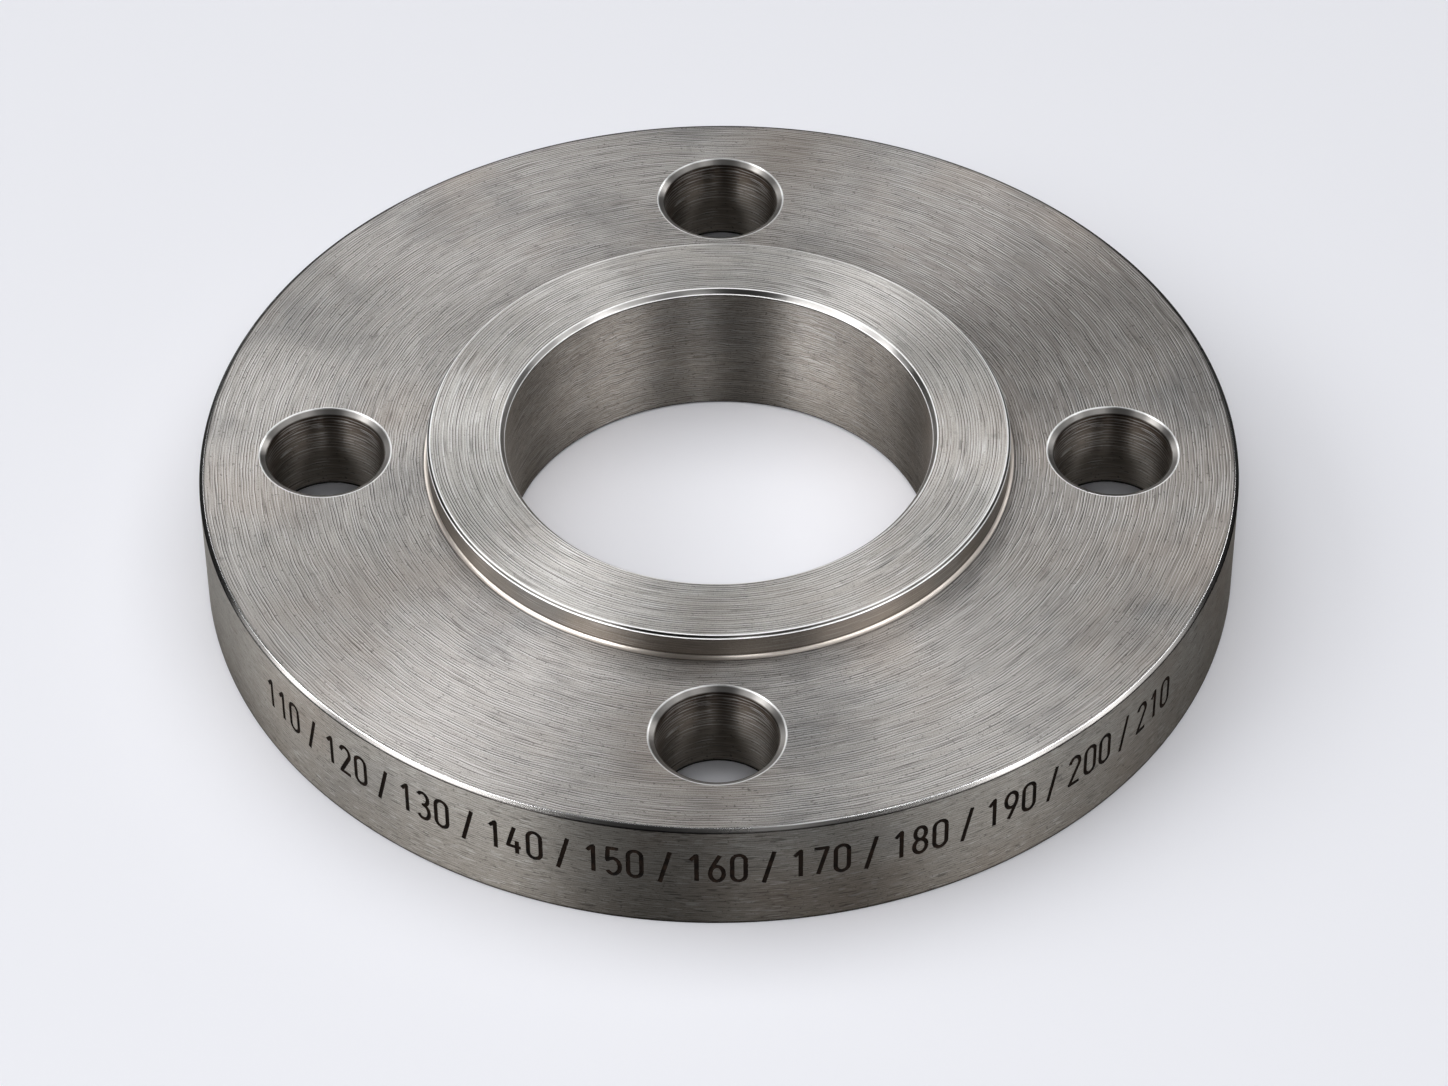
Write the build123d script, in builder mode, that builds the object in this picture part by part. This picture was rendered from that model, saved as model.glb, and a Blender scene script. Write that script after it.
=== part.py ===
from build123d import *
import os

# Plate flange: a turned ring with a low raised face, a plain bore and a circle of bolt holes.
# Millimetres. +Z runs along the bore, from the flat back to the raised face, and the origin is
# the centre of the back.

# Heights
plate_thickness = 27.0
face_height = 5.8  # raised face, above the plate

# Bore and bolt holes
bore_diameter = 90.5  # lets an 88.9 pipe through
bolt_hole_diameter = 25.0
bolt_hole_mouth = 27.9  # diameter, at the front of the plate
bolt_hole_mouth_angle = 120.0  # of the tool that eases it
bolt_hole_count = 4
nut_recess_diameter = 45.0  # takes the washer of a 24 mm bolt
nut_recess_depth = 6.5  # each bolt hole opens into one at the back

# Widths across the ring, from the bore out to the rim
face_land = 16.45  # raised face, from the bore to its outer edge
bolt_seat = 9.3  # flat plate between the raised face and a bolt hole
rim_land = 14.0  # metal between a bolt hole and the rim

# Edges, as the tools leave them
bore_chamfer = 1.0  # at the raised face
bore_edge_break = 0.5  # at the back
face_chamfer = 0.6
face_root_radius = 0.8  # nose radius of the tool, where the face rises from the plate
rim_chamfer = 0.8  # at the front of the plate
rim_edge_break = 0.5  # at the back
nut_recess_edge_break = 0.5

# What follows from them
overall_height = plate_thickness + face_height
face_diameter = bore_diameter + 2 * face_land
bolt_circle_diameter = face_diameter + 2 * bolt_seat + bolt_hole_diameter
plate_diameter = bolt_circle_diameter + bolt_hole_diameter + 2 * rim_land

bore_radius = bore_diameter / 2
face_radius = face_diameter / 2
plate_radius = plate_diameter / 2


def corner_at(section, radius, height):
    return section.vertices().sort_by_distance((radius, height))[0]


with BuildPart() as flange:
    # Half of the cross-section, right of the axis
    with BuildSketch(Plane.XZ) as half_section:
        with BuildLine():
            Polyline(
                (bore_radius, 0),
                (plate_radius, 0),
                (plate_radius, plate_thickness),
                (face_radius, plate_thickness),
                (face_radius, overall_height),
                (bore_radius, overall_height),
                close=True,
            )
        make_face()
        fillet(corner_at(half_section, face_radius, plate_thickness), face_root_radius)
        chamfer(corner_at(half_section, bore_radius, overall_height), bore_chamfer)
        chamfer(corner_at(half_section, face_radius, overall_height), face_chamfer)
        chamfer(corner_at(half_section, plate_radius, plate_thickness), rim_chamfer)
        chamfer(corner_at(half_section, plate_radius, 0), rim_edge_break)
        chamfer(corner_at(half_section, bore_radius, 0), bore_edge_break)
    revolve(axis=Axis.Z)

    # Bolt holes, the first on +X, eased at the front
    with Locations((0, 0, plate_thickness)):
        with PolarLocations(bolt_circle_diameter / 2, bolt_hole_count):
            CounterSinkHole(bolt_hole_diameter / 2, bolt_hole_mouth / 2, counter_sink_angle=bolt_hole_mouth_angle)

    # Recesses for the nuts, round the bolt holes at the back
    with BuildSketch():
        with PolarLocations(bolt_circle_diameter / 2, bolt_hole_count):
            Circle(nut_recess_diameter / 2)
    extrude(amount=nut_recess_depth, mode=Mode.SUBTRACT)
    recess_mouths = flange.edges(Select.LAST).filter_by(GeomType.CIRCLE).group_by(Axis.Z)[0]
    chamfer(recess_mouths, nut_recess_edge_break)

flange.part.label = "flange"

os.makedirs("parts", exist_ok=True)
export_step(flange.part, "parts/flange.step")
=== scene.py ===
import math

import bpy
import bmesh
from mathutils import Matrix, Vector


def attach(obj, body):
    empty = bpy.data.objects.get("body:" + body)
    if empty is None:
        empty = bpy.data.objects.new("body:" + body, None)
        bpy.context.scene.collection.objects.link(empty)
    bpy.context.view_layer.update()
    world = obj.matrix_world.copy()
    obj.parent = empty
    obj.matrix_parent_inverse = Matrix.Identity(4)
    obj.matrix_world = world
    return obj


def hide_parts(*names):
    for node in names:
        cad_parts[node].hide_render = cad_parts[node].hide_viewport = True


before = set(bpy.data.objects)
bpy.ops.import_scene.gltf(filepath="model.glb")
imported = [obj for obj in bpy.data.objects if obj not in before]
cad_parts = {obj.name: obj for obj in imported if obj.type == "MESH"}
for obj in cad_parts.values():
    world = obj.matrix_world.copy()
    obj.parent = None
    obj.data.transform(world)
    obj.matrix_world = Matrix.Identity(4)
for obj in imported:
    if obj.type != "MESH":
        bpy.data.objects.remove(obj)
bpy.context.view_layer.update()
scene = bpy.context.scene
mm = 0.001  # the scene is in metres, and the sizes below are in millimetres
print("frame loaded")


# Small helpers

def linear(hexColour):
    # sRGB hex to the linear colour that the shaders take
    channels = [int(hexColour[i:i + 2], 16) / 255 for i in (1, 3, 5)]
    return tuple(c / 12.92 if c <= 0.04045 else ((c + 0.055) / 1.055) ** 2.4 for c in channels) + (1.0,)


def addNode(tree, kind, inputs, out=0, **settings):
    # adds a node, sets it up, links or fills its inputs, and gives back the output that is wanted
    node = tree.nodes.new("ShaderNode" + kind)
    for name, value in settings.items():
        setattr(node, name, value)
    for key, value in inputs.items():
        if isinstance(value, bpy.types.NodeSocket):
            tree.links.new(value, node.inputs[key])
        else:
            node.inputs[key].default_value = value
    return node.outputs[out] if node.outputs else node


def addMesh(name, vertices, faces):
    mesh = bpy.data.meshes.new(name)
    mesh.from_pydata(vertices, [], faces)
    body = bpy.data.objects.new(name, mesh)
    scene.collection.objects.link(body)
    return body


def blankMaterial(name):
    material = bpy.data.materials.new(name)
    material.use_nodes = True
    material.node_tree.nodes.clear()
    return material, material.node_tree


# The flange: one turned ring with four drilled holes

flange = {
    "plateThickness": 27.0,
    "faceHeight": 5.8,       # raised face above the plate
    "boreRadius": 45.25,
    "faceRadius": 61.7,
    "plateRadius": 110.0,
    "boltCircle": 83.5,      # radius
    "boltHoleRadius": 12.5,
    "boltHoles": 4,
    "boreChamfer": 1.0,
    "faceChamfer": 0.6,
    "rootRadius": 0.8,       # nose of the tool, where the face rises from the plate
    "rimChamfer": 0.8,
    "boltHoleMouth": 13.95,  # radius, at the front of the plate
    "boltHoleMouthAngle": 120.0,
    "nutRecessRadius": 22.5,
    "nutRecessDepth": 6.5,
    "backEdgeBreak": 0.5,    # bore and recesses, at the back
    "rimFootRound": 0.25,    # rim, at the back
    "softEdge": 0.3,         # what handling leaves of the sharp corners
    "crispFrom": 30.0,       # degrees; smaller corners are shaded as round
    "turnFacets": 720,
    "holeFacets": 180,
}
faceTop = flange["plateThickness"] + flange["faceHeight"]


def roundedSection(corners, stepsPerCorner=4):
    # closed outline from (radius, height, rounding), with an arc at each corner
    outline = []
    for i, (radius, height, rounding) in enumerate(corners):
        here = Vector((radius, height))
        before = (Vector(corners[i - 1][:2]) - here).normalized()
        after = (Vector(corners[(i + 1) % len(corners)][:2]) - here).normalized()
        if rounding == 0:
            outline.append(here)
            continue
        halfAngle = before.angle(after) / 2
        centre = here + (before + after).normalized() * rounding / math.sin(halfAngle)
        start = here + before * rounding / math.tan(halfAngle) - centre
        sweep = start.angle_signed(here + after * rounding / math.tan(halfAngle) - centre)
        for step in range(stepsPerCorner + 1):
            turn = Matrix.Rotation(-sweep * step / stepsPerCorner, 2)
            outline.append(centre + turn @ start)
    return outline


def revolve(name, outline, facets, centre=(0.0, 0.0), capped=False):
    # turns an outline about the vertical through centre; capped is for an outline that is open at the axis
    vertices = []
    for i in range(facets):
        angle = 2 * math.pi * i / facets
        for radius, height in outline:
            vertices.append(((centre[0] + radius * math.cos(angle)) * mm,
                             (centre[1] + radius * math.sin(angle)) * mm, height * mm))
    count = len(outline)
    faces = []
    for i in range(facets):
        here, there = i * count, (i + 1) % facets * count
        for j in range(count - 1 if capped else count):
            k = (j + 1) % count
            faces.append((here + j, here + k, there + k, there + j))
    if capped:
        faces.append([i * count for i in range(facets)])
        faces.append([i * count + count - 1 for i in reversed(range(facets))])
    body = addMesh(name, vertices, faces)
    shell = bmesh.new()
    shell.from_mesh(body.data)
    bmesh.ops.recalc_face_normals(shell, faces=shell.faces)
    shell.to_mesh(body.data)
    shell.free()
    return body


def cutAway(body, cutter, overlapping=False):
    # takes the cutter out of the body and deletes the cutter
    cut = body.modifiers.new("cut", "BOOLEAN")
    cut.operation = "DIFFERENCE"
    cut.solver = "EXACT"
    cut.use_self = overlapping
    cut.object = cutter
    bpy.context.view_layer.update()
    result = bpy.data.meshes.new_from_object(body.evaluated_get(bpy.context.evaluated_depsgraph_get()))
    body.modifiers.clear()
    body.data = result
    bpy.data.objects.remove(cutter)


soft = flange["softEdge"]
back = flange["backEdgeBreak"]
halfSection = [
    (flange["boreRadius"] + back, 0, soft),
    (flange["boreRadius"], back, soft),
    (flange["boreRadius"], faceTop - flange["boreChamfer"], soft),
    (flange["boreRadius"] + flange["boreChamfer"], faceTop, soft),
    (flange["faceRadius"] - flange["faceChamfer"], faceTop, soft),
    (flange["faceRadius"], faceTop - flange["faceChamfer"], soft),
    (flange["faceRadius"], flange["plateThickness"], flange["rootRadius"]),
    (flange["plateRadius"] - flange["rimChamfer"], flange["plateThickness"], soft),
    (flange["plateRadius"], flange["plateThickness"] - flange["rimChamfer"], soft),
    (flange["plateRadius"], 0, flange["rimFootRound"]),
]
ring = revolve("flange_steel", roundedSection(halfSection), flange["turnFacets"])

drillReach = 2.0  # the cutter passes the plate by this much at each end
holeRadius = flange["boltHoleRadius"]
recessRadius = flange["nutRecessRadius"]
recessDepth = flange["nutRecessDepth"]
mouthRadius = flange["boltHoleMouth"]
mouthSlope = math.tan(math.radians(flange["boltHoleMouthAngle"] / 2))
mouthDepth = (mouthRadius - holeRadius) / mouthSlope
drillOutline = [
    (recessRadius + back + drillReach, -drillReach),
    (recessRadius, back),
    (recessRadius, recessDepth),
    (holeRadius, recessDepth),
    (holeRadius, flange["plateThickness"] - mouthDepth),
    (mouthRadius + drillReach * mouthSlope, flange["plateThickness"] + drillReach),
]
for hole in range(flange["boltHoles"]):
    angle = 2 * math.pi * hole / flange["boltHoles"]
    place = (flange["boltCircle"] * math.cos(angle), flange["boltCircle"] * math.sin(angle))
    cutAway(ring, revolve("drill", drillOutline, flange["holeFacets"], place, capped=True))
print("ring turned and drilled:", len(ring.data.polygons), "faces")


# Numbers cut into the rim, counting round the front

rimNumbers = {
    "first": 110,
    "step": 10,
    "count": 11,
    "middle": 270.0,        # degrees round the rim
    "pitch": 10.8,          # degrees from one number to the next
    "height": 8.4,          # of the figures
    "centreHeight": 16.2,   # above the back
    "figureWidth": 0.32,    # of the height, from stroke to stroke
    "figureGap": 0.2,       # of the height, between the strokes of one figure and the next
    "strokeWidth": 1.0,     # what the cutter leaves; the height is measured over it
    "noseRadius": 0.67,     # of the cutter, which goes in by the depth
    "depth": 0.22,
    "sharpCorner": 150.0,   # degrees; a stroke gets more points where it turns more sharply than this
    "cornerEase": 0.03,     # how far from the corner they lie
    "bowStep": 15.0,        # degrees from one point of a bow to the next
}


def bow(x, y, wide, tall, start, end):
    # part of an oval, in degrees
    count = max(3, round(abs(end - start) / rimNumbers["bowStep"]))
    angles = [math.radians(start + (end - start) * i / count) for i in range(count + 1)]
    return [(x + wide * math.cos(a), y + tall * math.sin(a)) for a in angles]


# each figure is one or more strokes of the cutter, in a box 1 wide and 1 high
strokesOf = {
    "0": [bow(0.5, 0.79, 0.5, 0.21, 0, 180) + bow(0.5, 0.21, 0.5, 0.21, 180, 360) + [(1, 0.79)]],
    "1": [[(0.15, 0.8), (0.62, 1), (0.62, 0)]],
    "2": [bow(0.5, 0.77, 0.48, 0.23, 170, -25) + [(0, 0), (1, 0)]],
    "3": [bow(0.46, 0.77, 0.46, 0.23, 150, -90) + bow(0.48, 0.27, 0.52, 0.27, 90, -150)],
    "4": [[(0.55, 1), (0, 0.25), (1.05, 0.25)], [(0.74, 0.48), (0.74, 0)]],
    "5": [[(0.92, 1), (0.12, 1), (0.06, 0.52)] + bow(0.48, 0.31, 0.52, 0.31, 120, -145)],
    "6": [bow(0.5, 0.29, 0.5, 0.29, 0, 360), [(0.72, 1), (0.1, 0.5), (0.01, 0.33)]],
    "7": [[(0, 1), (1, 1), (0.3, 0)]],
    "8": [bow(0.5, 0.76, 0.43, 0.24, 0, 360), bow(0.5, 0.26, 0.5, 0.26, 0, 360)],
    "9": [bow(0.5, 0.71, 0.5, 0.29, 0, 360), [(0.28, 0), (0.9, 0.5), (0.99, 0.67)]],
    "/": [[(0.1, -0.12), (0.9, 1.08)]],
}


def rimPlace(across, up):
    # millimetres along the rim and above the back, to a place just outside it
    radius = flange["plateRadius"] + rimNumbers["noseRadius"] - rimNumbers["depth"]
    angle = math.radians(rimNumbers["middle"]) + across / flange["plateRadius"]
    return (radius * math.cos(angle) * mm, radius * math.sin(angle) * mm, up * mm)


def besideCorners(stroke):
    # a point close to each side of every sharp corner, or else the stroke would taper towards it
    ease = rimNumbers["cornerEase"]
    sharp = math.radians(rimNumbers["sharpCorner"])
    eased = [stroke[0]]
    for before, here, after in zip(stroke, stroke[1:], stroke[2:]):
        if (before - here).angle(after - here) < sharp:
            eased.append(here + (before - here).normalized() * ease)
            eased.append(here)
            eased.append(here + (after - here).normalized() * ease)
        else:
            eased.append(here)
    return eased + [stroke[-1]]


def cutNumbers():
    paths = bpy.data.curves.new("numbers", "CURVE")
    paths.dimensions = "3D"
    paths.bevel_depth = rimNumbers["noseRadius"] * mm
    paths.bevel_resolution = 4
    paths.use_fill_caps = True
    high = rimNumbers["height"] - rimNumbers["strokeWidth"]
    wide = rimNumbers["figureWidth"] * rimNumbers["height"]
    advance = wide + rimNumbers["figureGap"] * rimNumbers["height"]
    pitch = math.radians(rimNumbers["pitch"]) * flange["plateRadius"]
    bottom = rimNumbers["centreHeight"] - high / 2
    for i in range(rimNumbers["count"]):
        centre = (i - (rimNumbers["count"] - 1) / 2) * pitch
        number = str(rimNumbers["first"] + i * rimNumbers["step"])
        start = centre - (len(number) - 1) / 2 * advance
        figures = [(figure, start + j * advance) for j, figure in enumerate(number)]
        if i < rimNumbers["count"] - 1:
            figures.append(("/", centre + pitch / 2))
        for figure, middle in figures:
            for stroke in strokesOf[figure]:
                spots = [Vector((middle + (x - 0.5) * wide, bottom + y * high)) for x, y in stroke]
                spots = besideCorners(spots)
                path = paths.splines.new("POLY")
                path.points.add(len(spots) - 1)
                for point, spot in zip(path.points, spots):
                    point.co = (*rimPlace(spot.x, spot.y), 1.0)
    cutter = bpy.data.objects.new("numbers", paths)
    scene.collection.objects.link(cutter)
    bpy.context.view_layer.update()
    solid = bpy.data.meshes.new_from_object(cutter.evaluated_get(bpy.context.evaluated_depsgraph_get()))
    bpy.data.objects.remove(cutter)
    cutter = bpy.data.objects.new("numbers", solid)
    scene.collection.objects.link(cutter)
    shell = bmesh.new()
    shell.from_mesh(solid)
    bmesh.ops.remove_doubles(shell, verts=shell.verts, dist=1e-7)  # joins the caps to their strokes
    bmesh.ops.recalc_face_normals(shell, faces=shell.faces)
    shell.to_mesh(solid)
    shell.free()
    cutAway(ring, cutter, overlapping=True)


cutNumbers()
print("numbers cut into the rim:", len(ring.data.polygons), "faces")


# Steel finishes

# white for painted highlights, brown and near black for painted shade
highlightWhite, shadeBrown, shadeBlack = "#FFFFFF", "#37302B", "#120E0B"


def squareToAxis(tree, place, about):
    # the part of a place that lies square to the axis that the tool ran round
    if about == "bolt hole":
        # the nearest of the four hole axes, which lie on X and Y: rounds 0.7 of the direction to -1, 0 or 1
        nearest = addNode(tree, "VectorMath", {0: place, 1: (1, 1, 0)}, operation="MULTIPLY")
        nearest = addNode(tree, "VectorMath", {0: nearest}, operation="NORMALIZE")
        nearest = addNode(tree, "VectorMath", {0: nearest, 1: (0.707, 0.707, 0), 2: (0.5, 0.5, 0.5)},
                          operation="MULTIPLY_ADD")
        nearest = addNode(tree, "VectorMath", {0: nearest}, operation="FLOOR")
        axis = addNode(tree, "VectorMath", {0: nearest, "Scale": flange["boltCircle"]}, operation="SCALE")
        place = addNode(tree, "VectorMath", {0: place, 1: axis}, operation="SUBTRACT")
    return addNode(tree, "VectorMath", {0: place, 1: (1, 1, 0)}, operation="MULTIPLY")


def toolMarks(tree, unit, along, radius, pitch, length, detail, start=0.0):
    # noise drawn out round the axis; a mark is two cells wide, a light one and a dark one, and each pattern
    # starts at a place of its own in the noise, so that no two agree
    up = addNode(tree, "Math", {0: along, 1: 2 / pitch, 2: start}, operation="MULTIPLY_ADD")
    up = addNode(tree, "CombineXYZ", {"Z": up})
    cells = 2 * radius / length
    spot = addNode(tree, "VectorMath", {0: unit, 1: (cells, cells, cells), 2: up}, operation="MULTIPLY_ADD")
    return addNode(tree, "TexNoise", {"Vector": spot, "Scale": 1.0, "Detail": detail, "Roughness": 0.55})


def feedLines(tree, along, pitch, shift, offset):
    # one line for each turn of the tool; shift moves the lines about, so that they wave and fork, and offset
    # is in turns
    turns = addNode(tree, "Math", {0: shift, 1: 1.0, 2: offset}, operation="MULTIPLY_ADD")
    turns = addNode(tree, "Math", {0: along, 1: 1 / pitch, 2: turns}, operation="MULTIPLY_ADD")
    turns = addNode(tree, "Math", {0: turns, 1: 2 * math.pi}, operation="MULTIPLY")
    return addNode(tree, "Math", {0: turns}, operation="SINE")


def nearTo(tree, place, centre, reach, amount):
    # the amount close to a centre, fading to nothing at its reach
    distance = addNode(tree, "VectorMath", {0: place, 1: centre}, "Value", operation="DISTANCE")
    return addNode(tree, "MapRange", {"Value": distance, "From Min": reach, "From Max": reach * 0.6,
                                      "To Max": amount}, interpolation_type="SMOOTHSTEP")


def addShadePatches(tree, place, steel, shadePatches, colour):
    # round patches of painted shade that fade out at their edges
    for centre, reach, amount in shadePatches:
        share = nearTo(tree, place, centre, reach, amount)
        steel = addNode(tree, "Mix", {0: share, 6: steel, 7: linear(colour)}, 2, data_type="RGBA")
    return steel


def turnedSteel(name, finish):
    # bare low-carbon steel as a lathe or a drill leaves it: a warm grey metal whose fine rings spread each
    # reflection across the tool marks, so that the light gathers in lobes to the sides of every ring
    material, tree = blankMaterial(name)
    place = addNode(tree, "TexCoord", {}, "Object")
    place = addNode(tree, "VectorMath", {0: place, "Scale": 1 / mm}, operation="SCALE")  # millimetres
    level = squareToAxis(tree, place, finish["about"])
    unit = addNode(tree, "VectorMath", {0: level}, operation="NORMALIZE")
    if finish["marksRunUp"]:
        along = addNode(tree, "SeparateXYZ", {0: place}, "Z")
    else:
        along = addNode(tree, "VectorMath", {0: level}, "Value", operation="LENGTH")

    # direction across the tool marks, along which the reflections spread
    normal = addNode(tree, "NewGeometry", {}, "Normal")
    around = addNode(tree, "VectorMath", {0: (0, 0, 1), 1: unit}, operation="CROSS_PRODUCT")
    across = addNode(tree, "VectorMath", {0: normal, 1: around}, operation="CROSS_PRODUCT")

    # the marks wander a little off true; noise hardly leaves the span from 0.2 to 0.8
    drift = addNode(tree, "TexNoise", {"Vector": place, "Scale": 1 / finish["wanderEvery"], "Detail": 2.0})
    drift = addNode(tree, "MapRange", {"Value": drift, "From Min": 0.2, "From Max": 0.8,
                                       "To Min": -finish["wander"], "To Max": finish["wander"]})
    along = addNode(tree, "Math", {0: along, 1: drift}, operation="ADD")
    radius, pitch, length = finish["usualRadius"], finish["markPitch"], finish["markLength"]
    shift = toolMarks(tree, unit, along, radius, pitch * 6, length, 1.0)
    grooves = feedLines(tree, along, pitch, shift, 0.0)
    burrHighlights = feedLines(tree, along, pitch, shift, -0.3)
    kept = toolMarks(tree, unit, along, radius, pitch * 1.5, length, 1.0, 50.0)
    kept = addNode(tree, "MapRange", {"Value": kept, "From Min": 0.35, "From Max": 0.65,
                                      "To Min": finish["keptLeast"]})
    grooves = addNode(tree, "Math", {0: grooves, 1: kept}, operation="MULTIPLY")
    burrHighlights = addNode(tree, "Math", {0: burrHighlights, 1: kept}, operation="MULTIPLY")
    lines = addNode(tree, "MapRange", {"Value": grooves, "From Min": 0.8, "From Max": -0.2})
    brushed = toolMarks(tree, unit, along, radius, pitch * 0.55, length * 0.5, 1.0, 110.0)
    bands = toolMarks(tree, unit, along, radius, pitch * 7, length * 3, 2.0, 130.0)
    scores = toolMarks(tree, unit, along, radius, finish["scorePitch"], finish["scoreLength"], 0.0, 20.0)
    glints = toolMarks(tree, unit, along, radius, finish["scorePitch"], finish["scoreLength"], 0.0, 70.0)
    pits = toolMarks(tree, unit, along, radius, finish["pitWidth"], finish["pitLength"], 0.0, 30.0)
    clouds = addNode(tree, "TexNoise", {"Vector": place, "Scale": 1 / finish["stainSize"], "Detail": 4.0,
                                        "Roughness": 0.6})
    haze = addNode(tree, "VectorMath", {0: place, 1: (200, 200, 200)}, operation="ADD")  # off the stains
    haze = addNode(tree, "TexNoise", {"Vector": haze, "Scale": 1 / finish["bloomSize"], "Detail": 3.0,
                                      "Roughness": 0.6})
    smudges = addNode(tree, "TexNoise", {"Vector": place, "Scale": 1 / finish["smudgeSize"], "Detail": 3.0,
                                         "Roughness": 0.65})
    ripple = addNode(tree, "TexNoise", {"Vector": place, "Scale": 1 / finish["rippleEvery"], "Detail": 1.0})
    grain = addNode(tree, "TexNoise", {"Vector": place, "Scale": 1 / finish["grainSize"], "Detail": 1.0})
    # height, for the light and shade painted by depth
    lightAndShadeByDepth = addNode(tree, "SeparateXYZ", {0: place}, "Z")

    # colour, from the bare metal and patches of painted shade up to what has settled on it, with painted
    # highlights for burrs and glints and painted light and shade by depth; each pattern comes in between two
    # of its values
    steel = addNode(tree, "RGB", {})
    steel.default_value = linear(finish["light"])
    steel = addShadePatches(tree, place, steel, finish["shadePatches"], finish["shadePatchColour"])
    for pattern, low, high, amount, colour in (
            (bands, 0.35, 0.65, finish["bands"], finish["dark"]),
            (brushed, 0.4, 0.65, finish["brushed"], finish["dark"]),
            (grain, 0.35, 0.65, finish["grain"], finish["dark"]),
            (grooves, 0.45, 0.85, finish["grooves"], finish["scoreColour"]),
            (burrHighlights, 0.45, 0.85, finish["burrHighlights"], "#FFFFFF"),
            (clouds, 0.5, 0.72, finish["stain"], finish["stainColour"]),
            (haze, 0.5, 0.72, finish["bloom"], finish["bloomColour"]),
            (smudges, 0.66, 0.82, finish["smudges"], finish["smudgeColour"]),
            (lightAndShadeByDepth, finish["deepFrom"], finish["deepest"], finish["lightAndShadeByDepth"], finish["depthPaintColour"]),
            (scores, 0.66, 0.71, finish["scores"], finish["scoreColour"]),
            (glints, 0.66, 0.71, finish["glints"], "#FFFFFF"),
            (pits, 0.74, 0.78, finish["pits"], finish["scoreColour"])):
        share = addNode(tree, "MapRange", {"Value": pattern, "From Min": low, "From Max": high,
                                           "To Max": amount})
        steel = addNode(tree, "Mix", {0: share, 6: steel, 7: linear(colour)}, 2, data_type="RGBA")

    # painted highlights along edges, and painted shade in corners and at the foot
    for about, edge, width, colour, amount, *spots in finish["edges"]:
        if about == "height":
            reached = addNode(tree, "SeparateXYZ", {0: place}, "Z")
        else:
            reached = squareToAxis(tree, place, about)
            reached = addNode(tree, "VectorMath", {0: reached}, "Value", operation="LENGTH")
        reached = addNode(tree, "Math", {0: reached, 1: edge}, operation="SUBTRACT")
        reached = addNode(tree, "Math", {0: reached}, operation="ABSOLUTE")
        share = addNode(tree, "MapRange", {"Value": reached, "From Min": width * 0.3, "From Max": width,
                                           "To Min": amount, "To Max": 0.0})
        for centre, reach in spots:
            near = nearTo(tree, place, centre, reach, 1.0)
            share = addNode(tree, "Math", {0: share, 1: near}, operation="MULTIPLY")
        steel = addNode(tree, "Mix", {0: share, 6: steel, 7: linear(colour)}, 2, data_type="RGBA")
    # painted shade over everything, darkest near each centre
    steel = addShadePatches(tree, place, steel, finish["shadeOverAll"], shadeBlack)

    # duller in the grooves and where the stains lie, shinier on the ridges between
    dull = addNode(tree, "MapRange", {
        "Value": lines,
        "To Min": finish["roughness"] + finish["grooveDull"] * finish["grooves"],
        "To Max": finish["roughness"] - finish["ridgeShine"] * finish["grooves"],
    })
    greasy = addNode(tree, "MapRange", {"Value": clouds, "From Min": 0.4, "From Max": 0.7,
                                        "To Min": -finish["cleanShine"], "To Max": finish["stainDull"]})
    dull = addNode(tree, "Math", {0: dull, 1: greasy}, operation="ADD")
    bump = addNode(tree, "Bump", {"Strength": 1.0, "Distance": finish["rippleDepth"] * mm, "Height": ripple})
    bump = addNode(tree, "Bump", {"Strength": 1.0, "Distance": finish["markDepth"] * mm, "Height": lines,
                                  "Normal": bump})
    shader = addNode(tree, "BsdfPrincipled", {
        "Base Color": steel,
        "Metallic": 1.0,
        "Roughness": dull,
        "Anisotropic": finish["anisotropy"],
        "Tangent": across,
        "Normal": bump,
    })
    addNode(tree, "OutputMaterial", {"Surface": shader})
    return material


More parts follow.
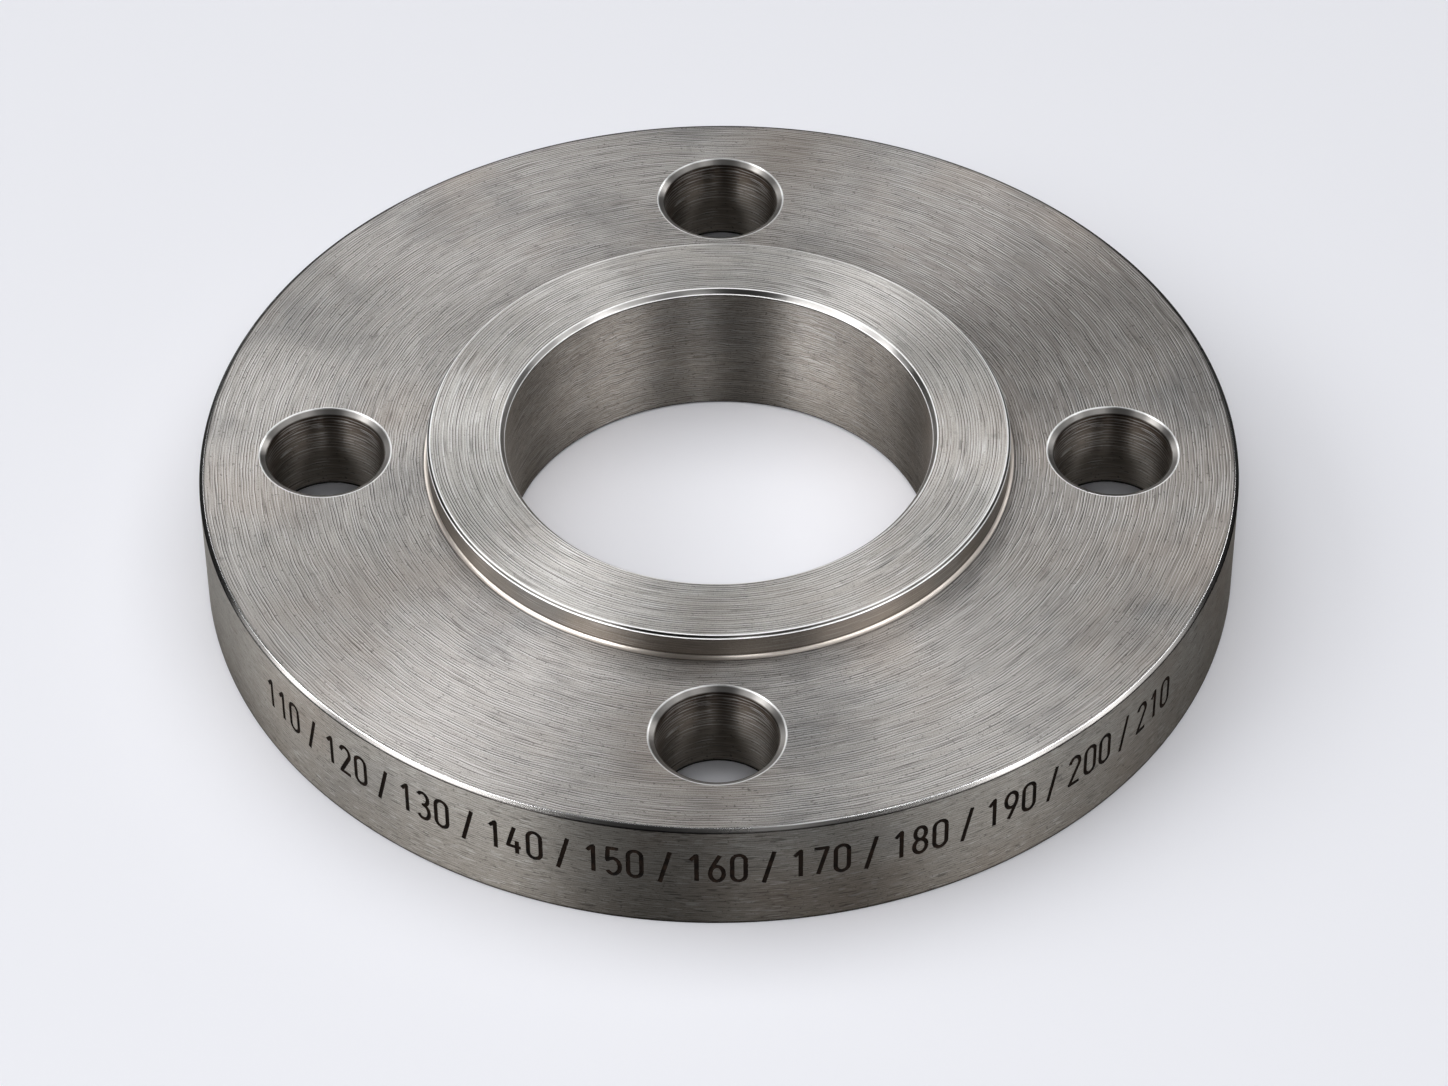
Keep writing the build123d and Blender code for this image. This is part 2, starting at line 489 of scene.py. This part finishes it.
boreMouth = flange["boreRadius"] + flange["boreChamfer"]
rimChamferFoot = flange["plateThickness"] - flange["rimChamfer"]
backOfRim = (0, flange["plateRadius"], flange["plateThickness"])
plainTurned = {
    "about": "bore",        # the axis that the tool ran round
    "marksRunUp": False,    # True on a wall, where one mark follows another upwards
    "usualRadius": 85.0,    # at which a mark is as long as markLength says
    "light": "#C5C1BD",
    "dark": "#8B8885",
    "roughness": 0.48,
    "anisotropy": 0.9,
    "markPitch": 0.6,       # from one groove to the next, coarser than the real feed so that it shows
    "markLength": 20.0,
    "grooves": 0.9,         # dark line of each turn, and beside it a painted white highlight for its burr
    "burrHighlights": 0.5,
    "keptLeast": 0.5,       # how much is left of a groove where it is faintest
    "markDepth": 0.004,
    "grooveDull": 0.05,     # roughness that a groove adds, and that the ridge beside it takes off
    "ridgeShine": 0.03,
    "wander": 0.3,          # how far a mark strays, and over what length it does
    "wanderEvery": 14.0,
    "bands": 0.05,          # broad rings a little darker than the rest
    "brushed": 0.1,         # fine rings between the grooves
    "grain": 0.6,           # torn metal that sparkles, drawn coarser than it is so that it shows
    "grainSize": 0.25,
    "stain": 0.38,          # where oil has dried
    "stainSize": 30.0,
    "stainColour": "#616569",
    "stainDull": 0.05,      # roughness that a stain adds, and that clean metal lacks
    "cleanShine": 0.02,
    "bloom": 0.4,           # a thin brown film of rust
    "bloomSize": 45.0,
    "bloomColour": "#AC9F94",
    "smudges": 0.45,        # marks of fingers and of other parts
    "smudgeSize": 6.0,
    "smudgeColour": "#4F4F4F",
    "rippleDepth": 0.003,   # how uneven the surface is under its tool marks
    "rippleEvery": 1.2,
    "scores": 0.35,         # thin dark scratches
    "scoreColour": "#3E3A37",
    "scorePitch": 0.5,
    "scoreLength": 18.0,
    "glints": 0.12,         # thin scratches painted white, painted highlights
    "pits": 0.45,
    "pitWidth": 0.9,
    "pitLength": 1.3,
    "lightAndShadeByDepth": 0.0,            # painted light and shade by depth: how much of depthPaintColour a wall takes on, from one height down to the other
    "depthPaintColour": "#D6CFC6",
    "deepFrom": flange["plateThickness"] - 2,
    "deepest": 3.0,
    "shadePatches": [],          # painted shade: where in the plan, how far the patch reaches and how dark it is
    "shadePatchColour": "#655E57",
    "shadeOverAll": [],            # the same for painted shade that lies over everything
    # painted highlights and painted shade, as lines along edges: about which axis or at what height, how far
    # out, width, colour and share of it, and, where the line fades, a centre and its reach
    "edges": [],
}
# what a form tool or a rubbing hand leaves: no rings to see
smooth = {"markDepth": 0.001, "grooves": 0.0, "burrHighlights": 0.0, "scores": 0.0, "glints": 0.0, "pits": 0.0,
          "brushed": 0.15, "grain": 0.15, "bands": 0.0, "stain": 0.0, "bloom": 0.0, "smudges": 0.0,
          "rippleDepth": 0.0}
finishes = {
    # faced in the lathe with a coarse feed: dull rings, with painted shade on the right, a painted dark line
    # of shade along the plate's outer edge towards the back, painted shade beside the root and painted
    # highlights round the bolt holes
    "facedPlate": {**plainTurned,
                   "shadePatches": [((105, 30, flange["plateThickness"]), 95, 0.45),
                               ((64, 77, flange["plateThickness"]), 40, 0.16),
                               ((-37, 93, flange["plateThickness"]), 40, 0.16)],
                   "edges": [("bore", flange["plateRadius"] - flange["rimChamfer"], 0.6, shadeBlack, 0.9,
                              (backOfRim, 230)),
                             ("bore", flange["faceRadius"] + flange["rootRadius"] + 0.1, 0.4, shadeBrown, 0.4),
                             ("bolt hole", mouthRadius, 0.25, highlightWhite, 1.0)]},
    # the gasket seat, faced last with an even feed: paler, with long clean rings and painted highlights along
    # its inner and outer edges
    "facedRaised": {**plainTurned, "usualRadius": 54.0, "light": "#D0CDC9", "dark": "#A5A29E",
                    "markLength": 60.0, "burrHighlights": 0.55, "wander": 0.12, "stain": 0.15, "bands": 0.1,
                    "scores": 0.4, "glints": 0.3, "pits": 0.3,
                    "edges": [("bore", boreMouth, 0.2, highlightWhite, 1.0),
                              ("bore", flange["faceRadius"] - flange["faceChamfer"], 0.3, highlightWhite, 1.0)]},
    # turned, then stacked and handled: short broken marks under a brown bloom, with painted shade that
    # darkens it downwards and painted dark lines of shade under the chamfer and at the foot
    "turnedRim": {**plainTurned, "marksRunUp": True, "usualRadius": 110.0, "light": "#B0ACA6",
                  "dark": "#8C8882", "markLength": 9.0, "grooves": 0.4, "burrHighlights": 0.15, "brushed": 0.4,
                  "bloomColour": "#887769", "bloom": 0.5, "scores": 0.5, "scoreLength": 6.0,
                  "glints": 0.15, "lightAndShadeByDepth": 0.4, "depthPaintColour": "#6E6459", "deepest": 0.0,
                  "edges": [("height", rimChamferFoot, 0.2, shadeBrown, 0.7),
                            ("height", 0.0, 0.8, shadeBlack, 0.9)]},
    # bored with a long bar that chattered: short rings that ripple the reflections; painted a little paler
    # downwards as painted light, with painted dark lines of shade under the chamfer and at the foot
    "boredWall": {**plainTurned, "marksRunUp": True, "usualRadius": 45.0, "light": "#C2BAB2",
                  "dark": "#7A726A", "markLength": 7.0, "grooves": 0.55, "burrHighlights": 0.4,
                  "wander": 0.4, "wanderEvery": 4.0, "rippleDepth": 0.02, "brushed": 0.5, "grain": 0.4,
                  "bloom": 0.3, "bloomColour": "#857A70", "scores": 0.4, "glints": 0.25, "lightAndShadeByDepth": 0.1,
                  "roughness": 0.43,
                  "edges": [("height", faceTop - flange["boreChamfer"] - 0.2, 0.35, shadeBrown, 0.9),
                            ("height", flange["backEdgeBreak"], 0.2, shadeBrown, 0.7)]},
    # the low wall that the side of the facing tool rubbed: dark and even, with painted dark lines of shade at
    # its foot and under the chamfer
    "turnedStep": {**plainTurned, "marksRunUp": True, "usualRadius": 61.7, "light": "#888078",
                   "dark": "#726A61", "markLength": 30.0, "markDepth": 0.002,
                   "grooves": 0.15, "burrHighlights": 0.05, "scores": 0.2, "glints": 0.1, "pits": 0.0,
                   "edges": [("height", flange["plateThickness"] + flange["rootRadius"], 0.2, shadeBrown, 0.6),
                             ("height", faceTop - flange["faceChamfer"] - 0.15, 0.2, shadeBrown, 0.9)]},
    # burnished by the nose of the tool: one thin pale ring, whose pale colour is partly a painted highlight
    "rootFillet": {**plainTurned, **smooth, "light": "#E8E0D8", "dark": "#D0C7BE", "roughness": 0.4,
                   "bloom": 0.3},
    # cut with a form tool: smooth, so that it shows each soft box as a short white streak; a painted white
    # highlight along its top edge, painted dark lines of shade at the foot of the rim's chamfer and at the
    # back, and painted shade over the back half
    "cutChamfer": {**plainTurned, **smooth, "light": "#8A8886", "dark": "#7A7876", "roughness": 0.25,
                   "anisotropy": 0.6, "markDepth": 0.0, "brushed": 0.0, "grain": 0.0,
                   "edges": [("height", 0.0, 0.7, shadeBlack, 0.9),
                             ("height", flange["plateThickness"], 0.2, highlightWhite, 1.0),
                             ("height", rimChamferFoot, 0.25, shadeBlack, 0.9)],
                   "shadeOverAll": [(backOfRim, 210, 0.85)]},
    # the same cut round the raised face: painted dark as shade, between two painted highlight lines
    "faceChamfer": {**plainTurned, **smooth, "light": "#55524F", "dark": "#4A4744", "roughness": 0.3,
                    "edges": [("height", faceTop - 0.05, 0.15, highlightWhite, 0.4),
                              ("height", faceTop - flange["faceChamfer"], 0.22, highlightWhite, 1.0)]},
    # the same cut at the bore, wider and paler, with painted highlight lines along both edges
    "boreChamfer": {**plainTurned, **smooth, "light": "#A4A2A0", "dark": "#8E8C8A", "roughness": 0.3,
                    "edges": [("height", faceTop, 0.2, highlightWhite, 0.6),
                              ("height", faceTop - flange["boreChamfer"], 0.2, highlightWhite, 0.6)]},
    # rounded corners painted white and rough, a painted highlight for the light they catch
    "paintedHighlightEdge": {**plainTurned, **smooth, "light": "#FFFFFF", "dark": "#CFCFCF", "roughness": 0.75,
                   "anisotropy": 0.0},
    # drilled: dark brown rings, painted paler towards the floor as painted light, with painted dark lines of
    # shade under the countersink and where the wall ends
    "drilledWall": {**plainTurned, "about": "bolt hole", "marksRunUp": True, "usualRadius": 13.0,
                    "light": "#6C5F54", "dark": "#40372F", "markPitch": 0.85, "markLength": 16.0,
                    "grooves": 0.8, "wander": 0.15, "rippleDepth": 0.012, "roughness": 0.35, "grain": 0.4,
                    "stain": 0.1, "bloom": 0.1, "scores": 0.5, "scorePitch": 0.45, "scoreLength": 12.0,
                    "glints": 0.4, "lightAndShadeByDepth": 0.8, "deepest": recessDepth,
                    "edges": [("height", flange["plateThickness"] - mouthDepth, 0.35, shadeBrown, 0.9),
                              ("height", recessDepth, 0.7, shadeBlack, 1.0)]},
    # eased with a countersink: a smooth band with a painted white highlight on its outer edge and a painted
    # dark line of shade on its inner edge
    "drillChamfer": {**plainTurned, **smooth, "about": "bolt hole", "usualRadius": 13.5,
                     "light": "#9A9794", "dark": "#827F7C", "roughness": 0.32, "stain": 0.2,
                     "edges": [("bolt hole", mouthRadius, 0.3, highlightWhite, 1.0),
                               ("bolt hole", holeRadius, 0.3, shadeBrown, 0.9)]},
    # faced as the front is, a little duller
    "facedBack": {**plainTurned, "light": "#B3B0AE"},
    "facedRecess": {**plainTurned, "about": "bolt hole", "usualRadius": 18.0, "light": "#B3B0AE"},
}


def burntGroove(name):
    # the same steel where the marking tool has burnt it: a film of brown oxide, which hides the metal, looks
    # darker than all round it and has hardly any shine
    material, tree = blankMaterial(name)
    place = addNode(tree, "TexCoord", {}, "Object")
    # smears about 1.4 mm across, as the scale is for each metre
    smear = addNode(tree, "TexNoise", {"Vector": place, "Scale": 700.0, "Detail": 3.0})
    smear = addNode(tree, "MapRange", {"Value": smear, "From Min": 0.35, "From Max": 0.7})
    oxide = addNode(tree, "Mix", {0: smear, 6: linear("#0A0705"), 7: linear("#1E140D")}, 2, data_type="RGBA")
    bump = addNode(tree, "Bump", {"Strength": 0.5, "Distance": 0.02 * mm, "Height": smear})
    shader = addNode(tree, "BsdfPrincipled", {"Base Color": oxide, "Metallic": 0.0, "Roughness": 0.7,
                                              "Specular IOR Level": 0.1, "Normal": bump})
    addNode(tree, "OutputMaterial", {"Surface": shader})
    return material


slotOf = {}
for name, finish in finishes.items():
    ring.data.materials.append(turnedSteel(name, finish))
    slotOf[name] = len(slotOf)
ring.data.materials.append(burntGroove("burntGroove"))
slotOf["burntGroove"] = len(slotOf)


def finishAt(centre, normal):
    # which tool made the surface, told from where a face lies and which way it looks
    x, y, z = (c / mm for c in centre)
    radius = math.hypot(x, y)
    fromHole = min(math.hypot(x - flange["boltCircle"] * math.cos(a), y - flange["boltCircle"] * math.sin(a))
                   for a in (2 * math.pi * i / flange["boltHoles"] for i in range(flange["boltHoles"])))
    outward = (normal.x * x + normal.y * y) / radius
    upright = abs(normal.z) < 0.05
    level = abs(normal.z) > 0.99
    halfway = 0.67 < abs(normal.z) < 0.74
    near, hair = 0.3, 0.01  # millimetres; near is more than the numbers are deep
    if radius > flange["plateRadius"] - near and flange["backEdgeBreak"] + near < z < rimChamferFoot - near:
        onWall = radius > flange["plateRadius"] - hair and outward > 0.999
        return "turnedRim" if onWall else "burntGroove"
    if fromHole < recessRadius + back and z < recessDepth + near:
        return "facedRecess"
    if fromHole < mouthRadius + near and not level:
        return "drilledWall" if upright else "drillChamfer"
    if upright and radius > flange["plateRadius"] - near:
        return "turnedRim"
    if upright and radius < flange["boreRadius"] + near:
        return "boredWall"
    if level and normal.z < 0:
        return "facedBack"
    if level:
        return "facedRaised" if radius < flange["faceRadius"] else "facedPlate"
    inRoot = flange["plateThickness"] - hair < z < flange["plateThickness"] + flange["rootRadius"]
    if inRoot and abs(radius - flange["faceRadius"]) < flange["rootRadius"] + near:
        return "rootFillet" if normal.z > 0.55 else "turnedStep"
    if upright:
        return "turnedStep"
    if z < flange["plateThickness"] + near:
        return "cutChamfer"
    if not halfway:
        return "paintedHighlightEdge"
    return "boreChamfer" if radius < boreMouth + near else "faceChamfer"


for face in ring.data.polygons:
    face.material_index = slotOf[finishAt(face.center, face.normal)]
    face.use_smooth = True
ring.data.set_sharp_from_angle(angle=math.radians(flange["crispFrom"]))
evenNormals = ring.modifiers.new("evenNormals", "WEIGHTED_NORMAL")  # keeps the flat faces flat to their edges
evenNormals.keep_sharp = True
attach(ring, "root")
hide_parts("flange")
print("finishes given")


# Floor, light and camera

studio = {
    "floorColour": "#EFF0F6",    # matt paper
    "floorReach": 12.0,          # metres
    "floorInSteel": "#525252",   # how dark the floor looks where the steel mirrors it
    "floorByLeft": "#D8D8D8",    # and beside the left of the rim, out of the shade of the flange
    "leftFrom": -0.1,            # metres on X, from where that begins to where it is full
    "leftFull": -0.118,
    "leftReach": 0.19,           # metres from the bore's axis, from where it ends to where it is full
    "leftFullReach": 0.14,
    "worldColour": "#ECEEF1",
    "worldStrength": 0.02,       # of the light that it gives; the camera sees all of it
    "boxDistance": 4.0,          # metres from the middle of the flange's back to a soft box
}
reach = studio["floorReach"]
floor = addMesh("floor", [(-reach, -reach, 0), (reach, -reach, 0), (reach, reach, 0), (-reach, reach, 0)],
                [(0, 1, 2, 3)])
floorPaint, tree = blankMaterial("mattFloor")
mirrored = addNode(tree, "LightPath", {}, "Is Glossy Ray")
spot = addNode(tree, "TexCoord", {}, "Object")
leftward = addNode(tree, "SeparateXYZ", {0: spot}, "X")
leftward = addNode(tree, "MapRange", {"Value": leftward, "From Min": studio["leftFrom"],
                                         "From Max": studio["leftFull"]})
nearby = addNode(tree, "VectorMath", {0: spot}, "Value", operation="LENGTH")
nearby = addNode(tree, "MapRange", {"Value": nearby, "From Min": studio["leftReach"],
                                       "From Max": studio["leftFullReach"]})
leftward = addNode(tree, "Math", {0: leftward, 1: nearby}, operation="MULTIPLY")
tone = addNode(tree, "Mix", {0: leftward, 6: linear(studio["floorInSteel"]),
                             7: linear(studio["floorByLeft"])}, 2, data_type="RGBA")
tone = addNode(tree, "Mix", {0: mirrored, 6: linear(studio["floorColour"]), 7: tone}, 2, data_type="RGBA")
paper = addNode(tree, "BsdfPrincipled", {"Base Color": tone, "Roughness": 0.8})
addNode(tree, "OutputMaterial", {"Surface": paper})
floor.data.materials.append(floorPaint)

world = bpy.data.worlds.new("studio")
scene.world = world
world.use_nodes = True
world.node_tree.nodes.clear()
sky = world.node_tree
seen = addNode(sky, "LightPath", {}, "Is Camera Ray")
seen = addNode(sky, "MapRange", {"Value": seen, "To Min": studio["worldStrength"], "To Max": 1.0})
backdrop = addNode(sky, "Background", {"Color": linear(studio["worldColour"]), "Strength": seen})
addNode(sky, "OutputWorld", {"Surface": backdrop})

softBoxes = {
    # what the boxes light, then where each one stands, in degrees, its size in metres and its brightness in
    # watts for each square metre
    "steel": {
        "boxFrontLeftKey": {"azimuth": 230, "elevation": 22, "size": (0.7, 1.0), "brightness": 64.3},
        "boxFrontLeft": {"azimuth": 213, "elevation": 22, "size": (1.7, 1.0), "brightness": 27.1},
        "boxFrontLeftHigh": {"azimuth": 204, "elevation": 37, "size": (2.2, 1.0), "brightness": 12.9},
        "boxLeft": {"azimuth": 180, "elevation": 22, "size": (0.7, 1.0), "brightness": 25},
        "boxLeftLow": {"azimuth": 180, "elevation": 8, "size": (2.2, 1.0), "brightness": 11.4},
        "boxLeftHigh": {"azimuth": 180, "elevation": 52, "size": (1.1, 1.0), "brightness": 25.7},
        "boxFront": {"azimuth": 280, "elevation": 22, "size": (0.7, 1.0), "brightness": 24.3},
        "boxFrontRight": {"azimuth": 320, "elevation": 22, "size": (2.1, 1.0), "brightness": 27.1},
        "boxFrontRightHigh": {"azimuth": 336, "elevation": 37, "size": (1.1, 1.0), "brightness": 17.1},
        "boxFrontRightTop": {"azimuth": 315, "elevation": 67, "size": (1.1, 1.0), "brightness": 8.6},
        "boxRight": {"azimuth": 350, "elevation": 22, "size": (0.7, 1.0), "brightness": 24.3},
        "boxRightBack": {"azimuth": 5, "elevation": 22, "size": (1.4, 1.0), "brightness": 7.9},
        "boxBackRight": {"azimuth": 48, "elevation": 37, "size": (1.1, 1.0), "brightness": 14.3},
        "boxBack": {"azimuth": 96, "elevation": 37, "size": (1.1, 1.0), "brightness": 10.4},
        "boxBackLeft": {"azimuth": 120, "elevation": 37, "size": (1.1, 1.0), "brightness": 14.9},
        "boxBackTop": {"azimuth": 80, "elevation": 65, "size": (3.3, 1.0), "brightness": 6},
    },
    "floor": {
        "boxOverhead": {"azimuth": 90, "elevation": 90, "size": (6.5, 6.5), "brightness": 4.6},
        "boxBesideFloor": {"azimuth": 185, "elevation": 37, "size": (5.0, 1.7), "brightness": 7.6},
        "boxByCamera": {"azimuth": 270, "elevation": 44, "size": (0.16, 0.08), "brightness": 125.0,
                        "distance": 1.2},
    },
}
litBy = {"steel": bpy.data.collections.new("litSteel"), "floor": bpy.data.collections.new("litFloor")}
litBy["steel"].objects.link(ring)
litBy["floor"].objects.link(floor)
for lit, boxes in softBoxes.items():
    for name, box in boxes.items():
        lamp = bpy.data.lights.new(name, "AREA")
        lamp.shape = "RECTANGLE"
        lamp.size, lamp.size_y = box["size"]
        lamp.energy = box["brightness"] * lamp.size * lamp.size_y
        azimuth, elevation = math.radians(box["azimuth"]), math.radians(box["elevation"])
        direction = Vector((math.cos(azimuth) * math.cos(elevation),
                            math.sin(azimuth) * math.cos(elevation), math.sin(elevation)))
        stand = bpy.data.objects.new(name, lamp)
        stand.location = direction * box.get("distance", studio["boxDistance"])
        stand.rotation_euler = direction.to_track_quat("Z", "Y").to_euler()
        stand.visible_camera = False
        stand.light_linking.receiver_collection = litBy[lit]
        scene.collection.objects.link(stand)

photograph = {
    "width": 1448, "focalLength": 5162.85,                  # pixels
    "elevation": 43.713, "yaw": -0.4725, "roll": -0.4029,   # degrees
    "distance": 1113.04, "aim": (0.949, 0.0, 0.202),        # millimetres
}
sensorWidth = 36.0
elevation = math.radians(photograph["elevation"])
yaw = math.radians(photograph["yaw"])
ahead = Vector((math.sin(yaw), math.cos(yaw), 0))
forward = ahead * math.cos(elevation) - Vector((0, 0, math.sin(elevation)))
levelRight = Vector((math.cos(yaw), -math.sin(yaw), 0))
cameraTurn = Matrix((levelRight, levelRight.cross(forward), -forward)).transposed()
cameraTurn = cameraTurn @ Matrix.Rotation(math.radians(photograph["roll"]), 3, "Z")
lens = bpy.data.cameras.new("camera")
lens.sensor_width = sensorWidth
lens.lens = photograph["focalLength"] / photograph["width"] * sensorWidth
lens.clip_start = 0.01
camera = bpy.data.objects.new("camera", lens)
camera.matrix_world = Matrix.Translation(
    (Vector(photograph["aim"]) - forward * photograph["distance"]) * mm) @ cameraTurn.to_4x4()
scene.collection.objects.link(camera)
scene.camera = camera
scene.view_settings.view_transform = "Standard"  # colours come out as the lights and finishes make them
print("floor, light and camera set")
